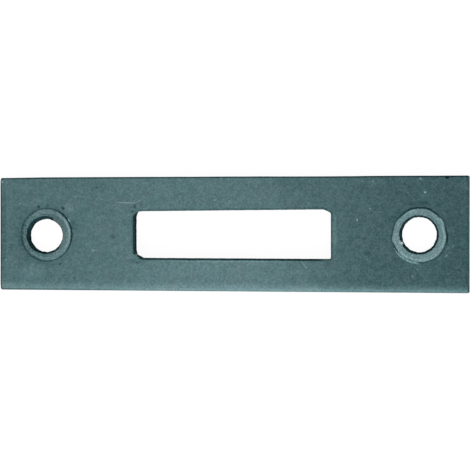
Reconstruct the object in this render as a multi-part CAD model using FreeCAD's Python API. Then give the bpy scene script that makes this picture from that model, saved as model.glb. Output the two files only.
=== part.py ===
import FreeCAD, Part
import math
import os

# Door strike plate: one length of flat steel strip with a bolt slot and two countersunk screw holes
# It lies on its back face with the front face up: X along the length, Y across, origin under its middle
# Sizes are in millimetres and angles in degrees

# The strip, and the wear on its two left-hand corners
plate_length = 92.0
plate_width = 22.0
plate_thickness = 3.0
worn_corner_radius = 0.35

# The shear blade drew the lower front edge down in a shallow curve
roll_over_width = 1.5
roll_over_drop = 0.35

# The bolt slot: a little taller at its right-hand end, and not quite on the plate's middle
slot_length = 38.9
slot_shift_x = 0.3
slot_left_height = 9.0
slot_left_shift_y = -0.12
slot_right_height = 9.4
slot_right_shift_y = 0.0

# Three slot corners were left as rough slanting cuts, and the fourth is nearly square
bottom_left_cut_along = 2.0
bottom_left_cut_across = 1.3
top_left_cut_along = 1.2
top_left_cut_across = 0.9
top_right_cut_along = 1.35
top_right_cut_across = 0.7
cut_end_radius = 0.6
bottom_right_radius = 0.2

# The countersinks stand at equal distances from the plate's ends
screw_end_distance = 9.45
screw_shift_y = -0.15
countersink_radius = 5.0
countersink_half_angle = 45.0

# Below each countersink a wider lead narrows to the bore, and both lie off the countersink's centre
lead_radius = 3.7
lead_depth = 1.7
lead_taper_depth = 0.5
bore_radius = 3.35
left_lead_drift = (-0.76, -0.22)
left_bore_drift = (-0.93, -0.18)
right_lead_drift = (-0.29, 0.06)
right_bore_drift = (-0.34, 0.12)

# The right-hand countersink is chattered: its rim has round-cornered lobes instead of a true circle
chatter_lobes = 9
chatter_first_angle = 31.0
chatter_flat_radius = 4.92
chatter_corner_radius = 1.4

# The same tool skidded once and left a curved groove beside the lobes
skid_radius = 5.3
skid_half_width = 0.17
skid_depth = 0.14
skid_start_angle = 200.0
skid_sweep = 76.0

# A nick in the right-hand bore's edge runs down through the wall
nick_angle = 196.0
nick_radius = 0.26
nick_top_radius = 4.05
nick_bottom_radius = 3.45

# Cutting tools run past the faces that they cut by this much
overrun = 1.0


def polar(centre, radius, angle, z):
    """Point at a radius and an angle about a vertical axis."""
    turn = math.radians(angle)
    return FreeCAD.Vector(centre[0] + radius * math.cos(turn), centre[1] + radius * math.sin(turn), z)


def shifted(centre, drift):
    """Centre moved by a drift in X and Y."""
    return (centre[0] + drift[0], centre[1] + drift[1])


def rounded_outline(corners, z):
    """Closed wire through corners given as (x, y, radius), each turned by an arc tangent to its sides."""
    edges = []
    last_end = None
    first_start = None
    for index, (x, y, radius) in enumerate(corners):
        here = FreeCAD.Vector(x, y, z)
        before = FreeCAD.Vector(corners[index - 1][0], corners[index - 1][1], z)
        following = corners[(index + 1) % len(corners)]
        after = FreeCAD.Vector(following[0], following[1], z)
        to_before = (before - here).normalize()
        to_after = (after - here).normalize()
        half_corner = to_before.getAngle(to_after) / 2
        reach = radius / math.tan(half_corner)
        start = here + to_before * reach
        end = here + to_after * reach
        inward = (to_before + to_after).normalize()
        middle = here + inward * (radius / math.sin(half_corner) - radius)
        if last_end is None:
            first_start = start
        else:
            edges.append(Part.makeLine(last_end, start))
        edges.append(Part.Arc(start, middle, end).toShape())
        last_end = end
    edges.append(Part.makeLine(last_end, first_start))
    return Part.Wire(edges)


def stands_on(edge, x, y):
    """Whether an edge stands upright over the point x, y."""
    footprint = FreeCAD.Vector(x, y, 0)
    ends = [FreeCAD.Vector(vertex.X, vertex.Y, 0) for vertex in edge.Vertexes]
    return all(end.isEqual(footprint, 1e-6) for end in ends)


def strip():
    """Sheared length of strip, with its lower front edge rolled over and its left-hand corners worn."""
    half = plate_width / 2
    roll_radius = (roll_over_width ** 2 + roll_over_drop ** 2) / (2 * roll_over_drop)
    roll_turn = math.asin(roll_over_width / roll_radius)
    left = -plate_length / 2
    back_low = FreeCAD.Vector(left, -half, 0)
    back_high = FreeCAD.Vector(left, half, 0)
    front_high = FreeCAD.Vector(left, half, plate_thickness)
    roll_top = FreeCAD.Vector(left, -half + roll_over_width, plate_thickness)
    roll_end = FreeCAD.Vector(left, -half, plate_thickness - roll_over_drop)
    roll_middle = roll_top + FreeCAD.Vector(
        0, -roll_radius * math.sin(roll_turn / 2), -roll_radius * (1 - math.cos(roll_turn / 2)))
    section = Part.Wire([
        Part.makeLine(back_low, back_high),
        Part.makeLine(back_high, front_high),
        Part.makeLine(front_high, roll_top),
        Part.Arc(roll_top, roll_middle, roll_end).toShape(),
        Part.makeLine(roll_end, back_low),
    ])
    body = Part.Face(section).extrude(FreeCAD.Vector(plate_length, 0, 0))
    worn = [edge for edge in body.Edges if stands_on(edge, left, half) or stands_on(edge, left, -half)]
    return body.makeFillet(worn_corner_radius, worn)


def bolt_slot():
    """Prism that cuts the bolt slot right through."""
    left = slot_shift_x - slot_length / 2
    right = slot_shift_x + slot_length / 2
    left_low = slot_left_shift_y - slot_left_height / 2
    left_high = slot_left_shift_y + slot_left_height / 2
    right_low = slot_right_shift_y - slot_right_height / 2
    right_high = slot_right_shift_y + slot_right_height / 2
    outline = rounded_outline([
        (left, left_low + bottom_left_cut_across, cut_end_radius),
        (left + bottom_left_cut_along, left_low, cut_end_radius),
        (right, right_low, bottom_right_radius),
        (right, right_high - top_right_cut_across, cut_end_radius),
        (right - top_right_cut_along, right_high, cut_end_radius),
        (left + top_left_cut_along, left_high, cut_end_radius),
        (left, left_high - top_left_cut_across, cut_end_radius),
    ], -overrun)
    return Part.Face(outline).extrude(FreeCAD.Vector(0, 0, plate_thickness + 2 * overrun))


def plain_countersink(centre):
    """Cone of the left-hand countersink, from above the front face down to its point."""
    slope = math.tan(math.radians(countersink_half_angle))
    top_radius = countersink_radius + overrun * slope
    height = top_radius / slope
    tip = FreeCAD.Vector(centre[0], centre[1], plate_thickness + overrun - height)
    return Part.makeCone(0, top_radius, height, tip)


def lobed_outline(centre, flat_radius, corner_radius, z):
    """Round-cornered polygon of the chatter lobes, at one height of the countersink."""
    half_turn = math.pi / chatter_lobes
    peak_radius = flat_radius / math.cos(half_turn)
    corners = []
    for lobe in range(chatter_lobes):
        peak = polar(centre, peak_radius, chatter_first_angle + lobe * 360 / chatter_lobes, z)
        corners.append((peak.x, peak.y, corner_radius))
    return rounded_outline(corners, z)


def chattered_countersink(centre):
    """Lobed cone of the right-hand countersink, from the front face down to inside the bore."""
    lobe_rise = (chatter_flat_radius - chatter_corner_radius) * (1 / math.cos(math.pi / chatter_lobes) - 1)
    floor_radius = bore_radius - math.hypot(right_bore_drift[0], right_bore_drift[1]) - lobe_rise
    depth = (chatter_flat_radius - floor_radius) / math.tan(math.radians(countersink_half_angle))
    rim = lobed_outline(centre, chatter_flat_radius, chatter_corner_radius, plate_thickness)
    floor = lobed_outline(centre, floor_radius, chatter_corner_radius, plate_thickness - depth)
    return Part.makeLoft([rim, floor], True, True)


def lead_and_bore(centre, lead_drift, bore_drift):
    """Straight lead, its taper and the bore, from above the front face to below the back face."""
    lead_centre = shifted(centre, lead_drift)
    bore_centre = shifted(centre, bore_drift)
    lead_floor = plate_thickness - lead_depth
    lead = Part.makeCylinder(lead_radius, lead_depth + overrun,
                             FreeCAD.Vector(lead_centre[0], lead_centre[1], lead_floor))
    taper_top = Part.Wire(Part.makeCircle(lead_radius, FreeCAD.Vector(lead_centre[0], lead_centre[1], lead_floor)))
    taper_floor = Part.Wire(Part.makeCircle(
        bore_radius, FreeCAD.Vector(bore_centre[0], bore_centre[1], lead_floor - lead_taper_depth)))
    taper = Part.makeLoft([taper_top, taper_floor], True, True)
    bore = Part.makeCylinder(bore_radius, plate_thickness + 2 * overrun,
                             FreeCAD.Vector(bore_centre[0], bore_centre[1], -overrun))
    return [lead, taper, bore]


def skid_groove(centre):
    """Shallow V groove that follows the rim part of the way round."""
    inner = polar(centre, skid_radius - 2 * skid_half_width, skid_start_angle, plate_thickness + skid_depth)
    outer = polar(centre, skid_radius + 2 * skid_half_width, skid_start_angle, plate_thickness + skid_depth)
    bottom = polar(centre, skid_radius, skid_start_angle, plate_thickness - skid_depth)
    section = Part.Face(Part.makePolygon([inner, outer, bottom, inner]))
    return section.revolve(FreeCAD.Vector(centre[0], centre[1], 0), FreeCAD.Vector(0, 0, 1), skid_sweep)


def bore_nick(centre):
    """Slanting round-bottomed nick from the countersink down through the bore's edge."""
    top = polar(centre, nick_top_radius, nick_angle, plate_thickness)
    bottom = polar(centre, nick_bottom_radius, nick_angle, 0)
    along = (bottom - top).normalize()
    return Part.makeCylinder(nick_radius, (bottom - top).Length + 2 * overrun, top - along * overrun, along)


def strike_plate():
    """Finished plate."""
    screw_x = plate_length / 2 - screw_end_distance
    left_centre = (-screw_x, screw_shift_y)
    right_centre = (screw_x, screw_shift_y)
    tools = [bolt_slot(), plain_countersink(left_centre), chattered_countersink(right_centre)]
    tools += lead_and_bore(left_centre, left_lead_drift, left_bore_drift)
    tools += lead_and_bore(right_centre, right_lead_drift, right_bore_drift)
    tools += [skid_groove(right_centre), bore_nick(shifted(right_centre, right_lead_drift))]
    plate = strip()
    for tool in tools:
        plate = plate.cut(tool)
    return plate.Solids[0]


os.makedirs("parts", exist_ok=True)
strike_plate().exportStep("parts/strike_plate.step")
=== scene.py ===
import logging
import math
from dataclasses import dataclass, field
from enum import Enum
from typing import Any, Callable, Optional

import bmesh
import bpy
from mathutils import Matrix, Vector, noise


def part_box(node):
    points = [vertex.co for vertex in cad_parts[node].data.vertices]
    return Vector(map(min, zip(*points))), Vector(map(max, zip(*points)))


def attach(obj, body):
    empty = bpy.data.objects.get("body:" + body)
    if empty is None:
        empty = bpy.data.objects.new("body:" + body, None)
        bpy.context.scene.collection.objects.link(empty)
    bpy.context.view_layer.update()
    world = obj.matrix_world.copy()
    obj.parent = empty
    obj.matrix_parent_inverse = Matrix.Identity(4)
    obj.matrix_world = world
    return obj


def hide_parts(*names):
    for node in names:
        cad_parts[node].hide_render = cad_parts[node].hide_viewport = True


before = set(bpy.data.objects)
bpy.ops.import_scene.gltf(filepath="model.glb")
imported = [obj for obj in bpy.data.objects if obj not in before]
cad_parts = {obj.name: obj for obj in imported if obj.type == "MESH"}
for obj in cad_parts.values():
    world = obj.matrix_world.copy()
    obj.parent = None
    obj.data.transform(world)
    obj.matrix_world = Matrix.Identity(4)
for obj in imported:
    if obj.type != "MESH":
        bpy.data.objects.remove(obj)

logging.basicConfig(level=logging.INFO, format="%(name)s: %(message)s")
log = logging.getLogger("strike_plate")

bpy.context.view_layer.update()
NODE = "strike_plate"
BODY = "root"
MM = 0.001
CLEAN = 9.0

Socket = bpy.types.NodeSocket


def smooth_step(low: float, high: float, value: float) -> float:
    """Soft ramp from 0 at low to 1 at high."""
    share = min(max((value - low) / (high - low), 0.0), 1.0)
    return share * share * (3.0 - 2.0 * share)


def turn_gap(first: float, second: float) -> float:
    """Signed angle in radians from second to first, the short way round."""
    return (first - second + math.pi) % (2.0 * math.pi) - math.pi


class Zone(Enum):
    """Kinds of surface on the plate. The value is the material slot of the finish."""

    ROLLED_FACE = 0
    CUT_CONE = 1
    PUNCHED_WALL = 2
    SHEARED_SIDE = 3


@dataclass
class RingGuide:
    """Layers that every ring vertex carries, so that each later ring can be placed from it.

    Attributes:
        bm: mesh that the layers belong to.
    """

    bm: bmesh.types.BMesh

    def __post_init__(self) -> None:
        """Make the layers: a home point, a direction into the metal, and where and how strong the dark edge line is."""
        self.home = self.bm.verts.layers.float_vector.new("home")
        self.into_metal = self.bm.verts.layers.float_vector.new("into_metal")
        self.rim_line = self.bm.verts.layers.float.new("rim_line")
        self.dark_line_strength = self.bm.verts.layers.float.new("dark_line_strength")

    def mark(self, vert: bmesh.types.BMVert, home: Vector, into_metal: Vector) -> None:
        """Write a vertex's home and its direction into the metal."""
        vert[self.home] = home
        vert[self.into_metal] = into_metal


@dataclass(frozen=True)
class DarkEdgeLine:
    """Dark line that follows an edge: painted shade along the plate's upper edge and the slot's lower edge, and a
    darker line round the screw holes' rims.

    Attributes:
        middle: gap in millimetres between the edge and the middle of the line.
        half_width: half the line's width in millimetres.
        strength: how dark the line is, from 0 to 1, at a point given from the opening's or the plate's middle.
    """

    middle: float
    half_width: float
    strength: Callable[[Vector], float]

    def mark(self, guide: RingGuide, vert: bmesh.types.BMVert, gap: float, place: Vector) -> None:
        """Write where a vertex stands in the line, and the line's strength there."""
        vert[guide.rim_line] = (gap - self.middle) / self.half_width
        vert[guide.dark_line_strength] = self.strength(place)


def line_with_rings(
    bm: bmesh.types.BMesh,
    ring: list[bmesh.types.BMEdge],
    zones: list[Zone],
    place: Callable[[bmesh.types.BMVert, int], None],
) -> list[bmesh.types.BMEdge]:
    """Extrude a closed ring of edges band by band.

    Args:
        bm: mesh in millimetres.
        ring: edges of the first ring, which is placed as step 0.
        zones: finish of each band, in order.
        place: moves a vertex to its point on the ring of a step.

    Returns:
        The edges of the last ring.
    """
    for vert in {vert for edge in ring for vert in edge.verts}:
        place(vert, 0)
    for step, zone in enumerate(zones, start=1):
        made = bmesh.ops.extrude_edge_only(bm, edges=ring)["geom"]
        fresh = {item for item in made if isinstance(item, bmesh.types.BMVert)}
        for vert in fresh:
            place(vert, step)
        for item in made:
            if isinstance(item, bmesh.types.BMFace):
                item.material_index = zone.value
        ring = [
            item for item in made
            if isinstance(item, bmesh.types.BMEdge) and fresh.issuperset(item.verts)
        ]
    return ring


@dataclass(frozen=True)
class ChatterLobes:
    """Round-cornered lobes that a chattering cutter left instead of a true circle."""

    count: int = 9
    first_angle: float = math.radians(31.0)
    corner_radius: float = 3.4
    reach: tuple[float, ...] = (0.24, 0.0, 0.03, 0.0, 0.10, 0.0, -0.06, 0.03, 0.02)
    swells: tuple[tuple[float, float], ...] = ((math.radians(322.0), 0.14), (math.radians(138.0), -0.15))
    swell_reach: float = math.radians(50.0)

    def radius(self, turn: float, flat_radius: float) -> float:
        """Distance from the centre to the outline.

        Args:
            turn: direction in radians.
            flat_radius: distance from the centre to the middle of a flat.

        Returns:
            The distance in millimetres.
        """
        half_turn = math.pi / self.count
        lobe = round((turn - self.first_angle) / (2.0 * half_turn))
        from_corner = turn - self.first_angle - lobe * 2.0 * half_turn
        corner_centre = (flat_radius - self.corner_radius) / math.cos(half_turn)
        curve_ends = half_turn - math.atan2(corner_centre * math.sin(half_turn), flat_radius)
        if abs(from_corner) < curve_ends:
            across = corner_centre * math.sin(from_corner)
            reach = corner_centre * math.cos(from_corner) + math.sqrt(self.corner_radius**2 - across**2)
        else:
            reach = flat_radius / math.cos(half_turn - abs(from_corner))
        reach += self.reach[lobe % self.count] * (1.0 - smooth_step(0.0, 0.55 * half_turn, abs(from_corner)))
        for direction, swell in self.swells:
            off_swell = abs(turn_gap(turn, direction))
            reach += swell * (1.0 - smooth_step(0.4 * self.swell_reach, self.swell_reach, off_swell))
        return reach


@dataclass(frozen=True)
class SkidGroove:
    """Curved V groove that the cutter scored outside the rim when it skidded."""

    radius: float = 5.30
    half_width: float = 0.22
    depth: float = 0.09
    start: float = math.radians(199.0)
    sweep: float = math.radians(82.0)

    def sink(self, turn: float, radius: float) -> float:
        """Depth of the groove at a direction and a distance from the hole's centre."""
        across = max(1.0 - abs(radius - self.radius) / self.half_width, 0.0)
        return self.depth * self.along(turn) * across

    def along(self, turn: float) -> float:
        """1 where the groove runs, fading to 0 at its two ends."""
        off_middle = abs(turn_gap(turn, self.start + self.sweep / 2.0))
        return 1.0 - smooth_step(0.08 * self.sweep, 0.5 * self.sweep, off_middle)

    def bares(self, turn: float, radius: float) -> bool:
        """Whether the groove has laid the metal bare at a direction and a distance from the centre."""
        return self.sink(turn, radius) > 0.012


@dataclass(frozen=True)
class BoreNick:
    """Nick that opens the bore's edge and slopes down its wall."""

    turn: float = math.radians(204.0)
    half_width: float = 0.52
    push: float = 0.30


@dataclass(frozen=True)
class ScrewHole:
    """One countersunk screw hole, lined ring by ring from the front face to the back face.

    Sizes are in millimetres. Drifts are from the countersink's centre, because the bore lies off it.
    """

    name: str
    centre: tuple[float, float]
    rim_radius: float
    lead_drift: tuple[float, float]
    bore_drift: tuple[float, float]
    thickness: float
    lead_radius: float = 3.7
    lead_depth: float = 1.7
    taper_depth: float = 0.5
    bore_radius: float = 3.35
    squash: float = 0.0
    segments: int = 180
    window_half: float = 6.6
    edge_round: float = 0.05
    cone_bands: int = 9
    margin_rings: tuple[float, ...] = (0.95, 0.78, 0.64, 0.56, 0.49, 0.42, 0.35, 0.28, 0.21, 0.14, 0.08, 0.04)
    lobes: Optional[ChatterLobes] = None
    skid: Optional[SkidGroove] = None
    nick: Optional[BoreNick] = None
    dark_line: Optional[DarkEdgeLine] = None

    def cone_radius(self, turn: float, depth: float) -> float:
        """Distance from the countersink's centre to its cut surface at a depth."""
        flat_radius = self.rim_radius - depth
        return self.lobes.radius(turn, flat_radius) if self.lobes else flat_radius

    def wall_radius(self, turn: float, depth: float) -> float:
        """Distance from the countersink's centre to the wall of the lead, taper or bore at a depth.

        The squash makes the bore that much narrower across the plate than along it.
        """
        share = min(max((depth - self.lead_depth) / self.taper_depth, 0.0), 1.0)
        drift = Vector(self.lead_drift).lerp(Vector(self.bore_drift), share)
        radius = self.lead_radius + (self.bore_radius - self.lead_radius) * share
        along = drift.x * math.cos(turn) + drift.y * math.sin(turn)
        reach = along + math.sqrt(radius**2 - drift.length_squared + along**2)
        reach -= self.squash * share * math.sin(turn) ** 2
        reach += 0.09 * noise.noise(Vector((6.0 * math.cos(turn), 6.0 * math.sin(turn), self.centre[0] + 0.4 * depth)))
        if self.nick:
            off_nick = turn_gap(turn, self.nick.turn) * reach / self.nick.half_width
            opening = max(1.0 - off_nick**2, 0.0)
            reach += self.nick.push * opening * (1.0 - smooth_step(0.8, self.thickness, depth))
        return reach

    def meeting_depth(self, turn: float) -> float:
        """Depth at which the countersink meets the wall, found by halving."""
        low, high = 0.0, self.thickness - 2.0 * self.edge_round
        for _ in range(24):
            middle = (low + high) / 2.0
            if self.cone_radius(turn, middle) > self.wall_radius(turn, middle):
                low = middle
            else:
                high = middle
        return low

    def bands(self) -> list[Zone]:
        """Finish of each band from the outermost ring to the back face."""
        face = [Zone.ROLLED_FACE] * (len(self.margin_rings) - 1)
        cone = [Zone.CUT_CONE] * (1 + self.cone_bands)
        wall = [Zone.PUNCHED_WALL] * 8
        return face + cone + wall + [Zone.ROLLED_FACE]

    def profile(self, turn: float) -> list[tuple[float, float]]:
        """Distance from the centre and depth of every ring in one direction."""
        rim = self.cone_radius(turn, 0.0)
        rings = []
        for offset in self.margin_rings:
            radius = rim + offset
            rings.append((radius, self.skid.sink(turn, radius) if self.skid else 0.0))
        rings.append((rim + 0.1 * self.edge_round, 0.12 * self.edge_round))
        rings.append((self.cone_radius(turn, self.edge_round), self.edge_round))
        meeting = self.meeting_depth(turn)
        for band in range(1, self.cone_bands + 1):
            share = band / self.cone_bands if band == self.cone_bands else band / (self.cone_bands - 0.45)
            depth = self.edge_round + (meeting - self.edge_round) * share
            rings.append((self.cone_radius(turn, depth), depth))
        floor = self.thickness - self.edge_round
        levels = (meeting + 0.05, (meeting + self.lead_depth) / 2.0, self.lead_depth,
                  self.lead_depth + self.taper_depth, (self.lead_depth + self.taper_depth + floor) / 2.0, floor)
        depth = meeting
        for level in levels:
            depth = min(max(level, depth + 0.02), floor)
            rings.append((self.wall_radius(turn, depth), depth))
        back = self.wall_radius(turn, self.thickness)
        rings.append((back + self.edge_round, self.thickness))
        rings.append((back + 0.5, self.thickness))
        return rings

    def line(self, bm: bmesh.types.BMesh, guide: RingGuide) -> tuple[list, list]:
        """Build the hole's rings.

        Args:
            bm: mesh in millimetres.
            guide: layers that the rings are placed from.

        Returns:
            The edges of the outermost ring on the front face, and of the last ring on the back face.
        """
        place_centre = Matrix.Translation((*self.centre, self.thickness))
        made = bmesh.ops.create_circle(bm, cap_ends=False, segments=self.segments, radius=1.0, matrix=place_centre)
        first = list({edge for vert in made["verts"] for edge in vert.link_edges})
        centre = Vector((*self.centre, 0.0))
        profiles = {}
        for vert in made["verts"]:
            outward = Vector((vert.co.x - centre.x, vert.co.y - centre.y, 0.0)).normalized()
            guide.mark(vert, centre, outward)

        def place(vert: bmesh.types.BMVert, step: int) -> None:
            """Move a vertex to its ring."""
            outward = vert[guide.into_metal]
            turn = math.atan2(outward.y, outward.x)
            key = round(turn, 4)
            if key not in profiles:
                profiles[key] = self.profile(turn)
            radius, depth = profiles[key][step]
            vert.co = vert[guide.home] + outward * radius + Vector((0.0, 0.0, self.thickness - depth))
            if step < len(self.bands()) - 1:
                narrowing = 1.0 - 0.5 * (self.skid.along(turn) if self.skid else 0.0)
                self.dark_line.mark(guide, vert, (radius - self.cone_radius(turn, 0.0)) / narrowing, outward)
            else:
                vert[guide.rim_line] = CLEAN

        last = line_with_rings(bm, first, self.bands(), place)
        self.lay_bare(bm)
        return first, last

    def lay_bare(self, bm: bmesh.types.BMesh) -> None:
        """Give the skid groove's and the nick's faces the bright finish of cut metal."""
        for face in bm.faces:
            middle = face.calc_center_median() - Vector((*self.centre, 0.0))
            radius = middle.xy.length
            if radius > self.window_half:
                continue
            turn = math.atan2(middle.y, middle.x)
            if self.skid and middle.z > self.thickness - 0.2 and self.skid.bares(turn, radius):
                face.material_index = Zone.CUT_CONE.value
            if self.nick and face.material_index == Zone.PUNCHED_WALL.value:
                widening = 0.35 + 0.65 * smooth_step(0.7, 1.5, middle.z)
                near = abs(turn_gap(turn, self.nick.turn)) * radius < self.nick.half_width * widening
                if near and middle.z > self.thickness - self.lead_depth - self.taper_depth:
                    face.material_index = Zone.CUT_CONE.value

    def window(self) -> tuple[float, float, float, float]:
        """Lowest x, lowest y, highest x and highest y of the square left open for the hole in a face."""
        x, y = self.centre
        return x - self.window_half, y - self.window_half, x + self.window_half, y + self.window_half


@dataclass(frozen=True)
class CutOutline:
    """A sheared or punched outline with round-nosed corners, lined from the front face to the back face.

    Attributes:
        name: what the outline is called in the log.
        corners: corner points as (x, y, reach of its rounding), counter-clockwise, in millimetres.
        steps: distance into the metal, depth, and the finish of the band that ends there.
        metal_outside: whether the metal lies outside the outline, as round a slot.
        thickness: height of the front face.
        dark_line: the dark line along the outline's edge; where it is strongest it is painted shade.
        spacing: longest run between two vertices.
        wave: adds to the distance into the metal, from a point of the outline.
        breakout: adds to the distance into the metal at the back face, where the wall broke away.
        squeeze: how far from an outer corner the rings start to close in on it.
    """

    name: str
    corners: tuple[tuple[float, float, float], ...]
    steps: tuple[tuple[float, float, Optional[Zone]], ...]
    metal_outside: bool
    thickness: float
    dark_line: DarkEdgeLine
    spacing: float = 0.34
    wave: Callable[[Vector], float] = lambda point: 0.0
    breakout: Callable[[Vector], float] = lambda point: 0.0
    squeeze: float = 2.0

    def outline(self, bm: bmesh.types.BMesh) -> bmesh.types.BMFace:
        """Make the outline as one flat face with its corners rounded and its long edges divided."""
        keep = bm.faces.layers.int.new(f"{self.name}_outline")
        verts = [bm.verts.new((x, y, self.thickness)) for x, y, _ in self.corners]
        bm.faces.new(verts)[keep] = 1
        for vert, (_, _, reach) in zip(verts, self.corners):
            bmesh.ops.bevel(bm, geom=[vert], offset=reach, offset_type="OFFSET", affect="VERTICES",
                            segments=5, profile=0.5, material=-1)
        face = next(face for face in bm.faces if face[keep])
        for edge in list(face.edges):
            cuts = int(edge.calc_length() / self.spacing)
            if cuts:
                bmesh.ops.subdivide_edges(bm, edges=[edge], cuts=cuts)
        return next(face for face in bm.faces if face[keep])

    def line(self, bm: bmesh.types.BMesh, guide: RingGuide) -> tuple[list, list]:
        """Build the outline's rings.

        Args:
            bm: mesh in millimetres.
            guide: layers that the rings are placed from.

        Returns:
            The edges of the first ring on the front face, and of the last ring on the back face.
        """
        face = self.outline(bm)
        loop_verts = [loop.vert for loop in face.loops]
        points = [vert.co.copy() for vert in loop_verts]
        side = 1.0 if self.metal_outside else -1.0
        for index, vert in enumerate(loop_verts):
            incoming = (points[index] - points[index - 1]).normalized()
            leaving = (points[(index + 1) % len(points)] - points[index]).normalized()
            across = (incoming + leaving).normalized()
            normal = Vector((across.y, -across.x, 0.0)) * side
            lean = max(abs(normal.dot(Vector((incoming.y, -incoming.x, 0.0)))), 0.5)
            guide.mark(vert, points[index] + normal * self.wave(points[index]), normal / lean)
        first = list(face.edges)
        bmesh.ops.delete(bm, geom=[face], context="FACES_ONLY")

        def place(vert: bmesh.types.BMVert, step: int) -> None:
            """Move a vertex to its ring."""
            offset, depth, _ = self.steps[step]
            home = vert[guide.home]
            if self.metal_outside:
                broken = self.breakout(home) * depth / self.thickness
                vert.co = home + vert[guide.into_metal] * (offset + broken)
            else:
                vert.co = self.drawn_in(home, offset)
            vert.co.z = self.thickness - depth
            if step < len(self.steps) - 1:
                self.dark_line.mark(guide, vert, offset, vert.co)
            else:
                vert[guide.rim_line] = CLEAN

        last = line_with_rings(bm, first, [zone for _, _, zone in self.steps[1:]], place)
        return first, last

    def drawn_in(self, home: Vector, offset: float) -> Vector:
        """Point at an offset inside the outline's box. The rings close in on a corner without crossing."""
        moved = home.copy()
        for axis in (0, 1):
            low = min(corner[axis] for corner in self.corners)
            high = max(corner[axis] for corner in self.corners)
            from_middle = home[axis] - (low + high) / 2.0
            gap = (high - low) / 2.0 - abs(from_middle)
            if gap < self.squeeze:
                moved[axis] -= math.copysign(offset * (1.0 - gap / self.squeeze), from_middle)
        return moved

    def window(self) -> tuple[float, float, float, float]:
        """Lowest x, lowest y, highest x and highest y that a face keeps clear of."""
        margin = 1.4 if self.metal_outside else -0.78
        xs = [x for x, _, _ in self.corners]
        ys = [y for _, y, _ in self.corners]
        return min(xs) - margin, min(ys) - margin, max(xs) + margin, max(ys) + margin


def bolt_slot(thickness: float) -> CutOutline:
    """Outline of the slot that takes the bolt, with three slanting corners and one square one."""
    left, right = -19.0, 19.75
    cut = 0.28
    edge = 0.07
    steps = (
        (0.95, 0.0, None),
        (0.6, 0.0, Zone.ROLLED_FACE),
        (0.36, 0.0, Zone.ROLLED_FACE),
        (0.22, 0.008, Zone.ROLLED_FACE),
        (0.13, 0.028, Zone.ROLLED_FACE),
        (0.05, 0.075, Zone.ROLLED_FACE),
        (0.0, 0.16, Zone.PUNCHED_WALL),
        (0.0, 0.55, Zone.PUNCHED_WALL),
        (0.0, 1.0, Zone.PUNCHED_WALL),
        (0.03, 1.25, Zone.PUNCHED_WALL),
        (0.06, 2.0, Zone.PUNCHED_WALL),
        (0.08, thickness - edge, Zone.PUNCHED_WALL),
        (0.08 + edge, thickness, Zone.PUNCHED_WALL),
        (0.5, thickness, Zone.ROLLED_FACE),
    )

    def breakout(point: Vector) -> float:
        """The two slanting cuts at the left-hand end undercut the face."""
        along = point.x - left
        rising = smooth_step(0.0, 0.5, along)
        if point.y > 0.0:
            return 0.28 * rising * (1.0 - smooth_step(0.7, 1.3, along))
        return rising * (0.44 - 0.2 * smooth_step(0.8, 1.05, along)) * (1.0 - smooth_step(1.3, 1.95, along))

    def wave(point: Vector) -> float:
        """Small unevenness of the punched edge, always into the metal, and rougher at the left-hand end."""
        rough = 0.10 * noise.noise(Vector((point.x, 2.1 * point.y, 3.7))) if point.x < left + 0.3 else 0.0
        return max(0.05 * noise.noise(Vector((point.x * 0.9, point.y * 0.9, 5.2))), rough, 0.0)

    def strength(place: Vector) -> float:
        """Strongest along the lower edge, up to its right-hand end: painted shade of the lower edge, whose rim faces
        away from the light.
        """
        lower = smooth_step(3.3, 3.9, -place.y) * (1.0 - 0.8 * smooth_step(16.5, 19.0, place.x))
        return 0.10 + 0.97 * lower + 0.2 * smooth_step(3.3, 3.9, place.y)

    return CutOutline("bolt_slot", (
        (left, -3.30, cut), (left + 1.75, -4.64, cut), (-9.0, -4.66, cut), (right, -4.70, cut), (right, 4.0, cut),
        (right - 1.35, 4.67, cut), (left + 1.25, 4.36, cut), (left + 0.6, 4.08, 0.2), (left, 3.38, cut)),
        steps, True, thickness,
        DarkEdgeLine(0.15, 0.26, strength), wave=wave, breakout=breakout)


def outer_side(length: float, width: float, thickness: float) -> CutOutline:
    """Sheared outline of the strip, with its two left-hand corners worn."""
    x, y = length / 2.0, width / 2.0
    worn, crisp, short = 0.35, 0.12, 0.24
    steps = (
        (0.58, 0.0, None),
        (0.44, 0.0, Zone.ROLLED_FACE),
        (0.32, 0.0, Zone.ROLLED_FACE),
        (0.2, 0.0, Zone.ROLLED_FACE),
        (0.12, 0.006, Zone.ROLLED_FACE),
        (0.06, 0.028, Zone.ROLLED_FACE),
        (0.02, 0.075, Zone.SHEARED_SIDE),
        (0.0, 0.14, Zone.SHEARED_SIDE),
        (0.0, 0.6, Zone.SHEARED_SIDE),
        (0.0, 1.0, Zone.SHEARED_SIDE),
        (0.03, 1.2, Zone.SHEARED_SIDE),
        (0.05, 2.0, Zone.SHEARED_SIDE),
        (0.03, thickness - 0.08, Zone.SHEARED_SIDE),
        (0.08, thickness, Zone.SHEARED_SIDE),
        (0.58, thickness, Zone.ROLLED_FACE),
    )

    def wave(point: Vector) -> float:
        """Small unevenness of the sheared sides, always into the metal."""
        quick = max(0.02 * noise.noise(Vector((point.x * 0.35, point.y, 8.4))), 0.0)
        if point.y < y - 0.4:
            return quick
        hollow = 0.045 * (1.0 - smooth_step(2.0, 13.0, abs(point.x - 17.0)))
        return quick + hollow + 0.09 * smooth_step(36.0, 45.0, -point.x)

    def strength(place: Vector) -> float:
        """Strongest along the upper edge, where it is painted shade of the edge that faces away from the light."""
        upper = smooth_step(y - 0.8, y - 0.2, place.y)
        left_end = smooth_step(x - 0.8, x - 0.2, -place.x)
        return 0.12 + 0.55 * upper + 0.10 * left_end + 0.35 * (1.0 - upper) * smooth_step(20.0, 30.0, -place.x)

    return CutOutline("outer_side", (
        (-x, -y, worn), (x - short, -y, crisp), (x - short, y, crisp), (-x, y, worn)), steps, False, thickness,
        DarkEdgeLine(0.14, 0.17, strength), wave=wave)


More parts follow.
